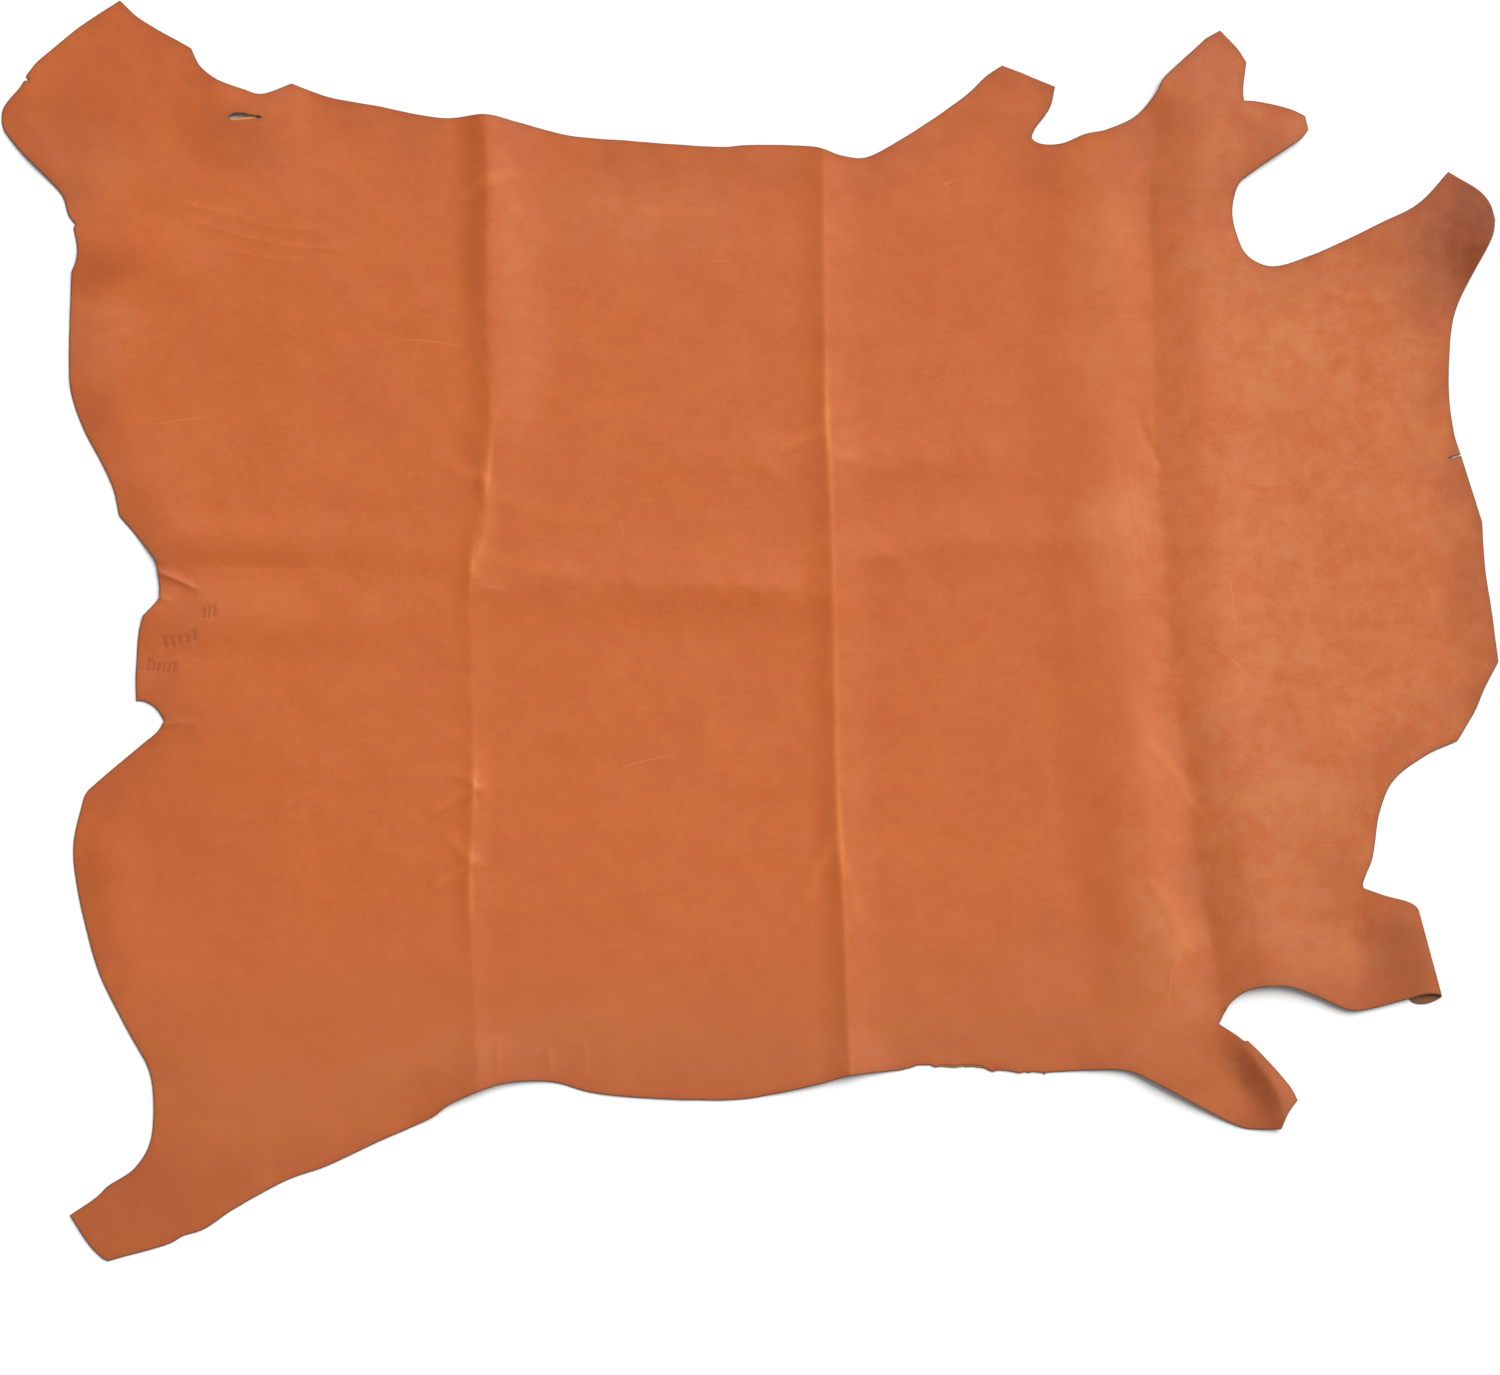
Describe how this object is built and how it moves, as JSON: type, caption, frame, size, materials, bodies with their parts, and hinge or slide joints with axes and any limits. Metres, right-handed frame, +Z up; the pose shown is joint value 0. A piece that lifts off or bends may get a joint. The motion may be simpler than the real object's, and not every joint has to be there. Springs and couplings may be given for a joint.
{
  "type": "leather hide",
  "caption": "Whole tan cow hide laid flat: one uneven leather sheet with shank, cheek and neck lobes, folding creases, a worn hole, a slit, and one cheek end folded under.",
  "frame": {"origin": "on the floor under the centre of the hide's bounding box", "axes": "+X from the rump to the neck, +Y to the belly edge with the worn hole, +Z up, grain side up"},
  "size_m": [2.394, 2.016, 0.0198],
  "materials": {
    "leather": "tan pull-up leather, satin, lighter on its creases"
  },
  "bodies": {
    "root": {"hide": "leather"}
  },
  "joints": []
}
